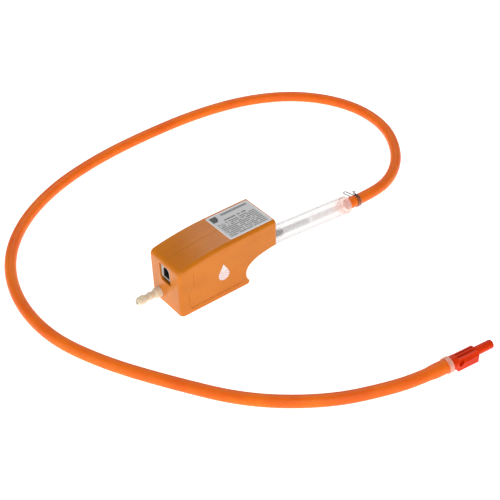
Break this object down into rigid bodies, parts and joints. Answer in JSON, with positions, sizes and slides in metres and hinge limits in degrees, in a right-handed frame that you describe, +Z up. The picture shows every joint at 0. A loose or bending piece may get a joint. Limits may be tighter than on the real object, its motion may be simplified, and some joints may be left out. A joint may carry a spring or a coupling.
{
  "type": "condensate suction pump",
  "caption": "Small orange solenoid piston pump with a discharge barb, a clear in-line chamber and a long suction hose with an end coupling.",
  "frame": {"origin": "on the standing surface, under the middle of the pump with its barb and clear chamber, the hose and what is on it left out", "axes": "+X runs from the discharge barb towards the suction hose, +Z is up"},
  "size_m": [0.4251, 0.4307, 0.051],
  "materials": {
    "housing_plastic": "glossy moulded ABS with a light sheen",
    "label_film": "satin silver label film",
    "badge_film": "printed film",
    "nylon": "cream moulded nylon",
    "black_rubber": "soft moulded rubber",
    "silicone": "translucent silicone",
    "valve_rubber": "moulded valve rubber",
    "spring_steel": "bright drawn spring wire",
    "bearing_plastic": "acetal bearing plastic",
    "steel": "ground magnetic stainless steel",
    "bobbin_plastic": "glass-filled white plastic",
    "copper": "enamelled copper wire",
    "tape": "yellow insulating tape",
    "plated_steel": "zinc-plated sheet steel",
    "socket_nylon": "off-white nylon",
    "tinned_contact": "tin-plated pins",
    "board_laminate": "green solder resist",
    "component_black": "black epoxy",
    "component_blue": "blue epoxy coat",
    "wire_insulation": "grey insulation",
    "clear_plastic": "clear extruded plastic",
    "clear_moulding": "clear moulded plastic",
    "frosted_tube": "frosted clear plastic",
    "tinted_moulding": "clear moulding that picks up the hose's colour",
    "hose_rubber": "smooth soft orange hose",
    "coupling_plastic": "glossy red-orange plastic",
    "ring_plastic": "translucent soft plastic"
  },
  "bodies": {
    "housing": {"barb_gasket": "black_rubber", "buffer_spring": "spring_steel", "chamber_hose_plug": "tinted_moulding", "chamber_pump_plug": "clear_moulding", "chamber_tube": "clear_plastic", "circuit_board": "board_laminate", "coil_bobbin": "bobbin_plastic", "contact_pins": "tinned_contact", "copper_winding": "copper", "coupling_body": "coupling_plastic", "coupling_insert": "coupling_plastic", "coupling_ring": "ring_plastic", "coupling_sleeve": "silicone", "coupling_spigot": "coupling_plastic", "data_label": "label_film", "discharge_barb": "nylon", "front_pole_ring": "steel", "front_rubber_mount": "black_rubber", "guide_tube": "bearing_plastic", "inlet_grommet": "black_rubber", "inlet_head": "nylon", "inlet_link_tube": "silicone", "inlet_spigot": "nylon", "lead_wires": "wire_insulation", "left_housing_shell": "housing_plastic", "outlet_head": "nylon", "outlet_link_sleeve": "silicone", "outlet_valve_seat": "nylon", "outlet_valve_spring": "spring_steel", "piston_seal": "black_rubber", "pump_cylinder": "bearing_plastic", "pump_side_tube": "frosted_tube", "rear_pole_ring": "steel", "rear_rubber_mount": "black_rubber", "rectifier_diode": "component_black", "return_spring": "spring_steel", "right_housing_shell": "housing_plastic", "side_badge": "badge_film", "socket_header": "socket_nylon", "spring_washer": "steel", "suction_hose": "hose_rubber", "surge_limiter": "component_blue", "winding_tape": "tape", "yoke_bracket": "plated_steel", "yoke_top_plate": "plated_steel"},
    "piston": {"piston": "steel", "piston_valve_spring": "spring_steel"},
    "piston_valve": {"piston_valve": "valve_rubber"},
    "outlet_valve": {"outlet_valve": "valve_rubber"},
    "hose_clamp": {"hose_clamp": "spring_steel"}
  },
  "joints": [
    {"name": "piston_stroke", "type": "slide", "parent": "housing", "child": "piston", "axis": [1, 0, 0], "range_m": [-0.002, 0.002], "stiffness_N_per_m": 900, "deforming": ["return_spring", "buffer_spring"]},
    {"name": "piston_valve_lift", "type": "slide", "parent": "piston", "child": "piston_valve", "axis": [1, 0, 0], "range_m": [-0.0006, 0], "stiffness_N_per_m": 30, "deforming": ["piston_valve_spring"]},
    {"name": "outlet_valve_lift", "type": "slide", "parent": "housing", "child": "outlet_valve", "axis": [1, 0, 0], "range_m": [-0.0008, 0], "stiffness_N_per_m": 40, "deforming": ["outlet_valve_spring"]},
    {"name": "clamp_turn", "type": "hinge", "parent": "housing", "child": "hose_clamp", "pos_m": [0.11953, 0.00103, 0.0091], "axis": [0.9965, -0.0837, 0], "range_deg": [-15, 165]}
  ]
}
